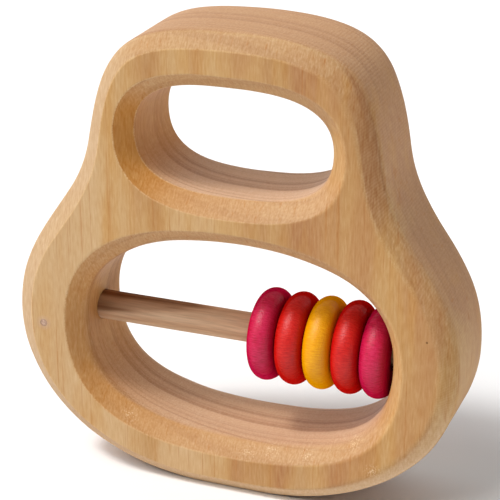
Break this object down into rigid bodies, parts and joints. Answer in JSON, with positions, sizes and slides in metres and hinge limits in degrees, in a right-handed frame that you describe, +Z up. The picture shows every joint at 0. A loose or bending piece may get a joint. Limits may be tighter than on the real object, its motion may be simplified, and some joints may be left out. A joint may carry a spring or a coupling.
{
  "type": "wooden grasping rattle",
  "caption": "Bell-shaped wooden hand rattle with a grip opening above and a wide opening below, where stained wooden discs slide and clack along a crosswise rod.",
  "frame": {"origin": "on the standing surface, under the middle of the foot, at half the board's depth", "axes": "+X to the right across the width and along the rod, -Y towards the front face, +Z up from the foot to the crown"},
  "size_m": [0.0958, 0.0248, 0.1],
  "materials": {
    "frame_wood": "natural oiled, satin",
    "rod_wood": "natural oiled, satin",
    "pin_steel": "bare steel",
    "magenta_wood": "stained magenta, satin",
    "red_wood": "stained red, satin",
    "yellow_wood": "stained yellow, satin"
  },
  "bodies": {
    "body": {"frame": "frame_wood", "rod": "rod_wood", "locking_pin": "pin_steel"},
    "disc_1": {"disc_1": "magenta_wood"},
    "disc_2": {"disc_2": "red_wood"},
    "disc_3": {"disc_3": "yellow_wood"},
    "disc_4": {"disc_4": "red_wood"},
    "disc_5": {"disc_5": "magenta_wood"}
  },
  "joints": [
    {"name": "disc_5_slide", "type": "slide", "parent": "body", "child": "disc_5", "axis": [1, 0, 0], "range_m": [-0.00695, 0]},
    {"name": "disc_4_slide", "type": "slide", "parent": "disc_5", "child": "disc_4", "axis": [1, 0, 0], "range_m": [-0.00695, 0]},
    {"name": "disc_3_slide", "type": "slide", "parent": "disc_4", "child": "disc_3", "axis": [1, 0, 0], "range_m": [-0.00695, 0]},
    {"name": "disc_2_slide", "type": "slide", "parent": "disc_3", "child": "disc_2", "axis": [1, 0, 0], "range_m": [-0.00695, 0]},
    {"name": "disc_1_slide", "type": "slide", "parent": "disc_2", "child": "disc_1", "axis": [1, 0, 0], "range_m": [-0.00695, 0]}
  ]
}
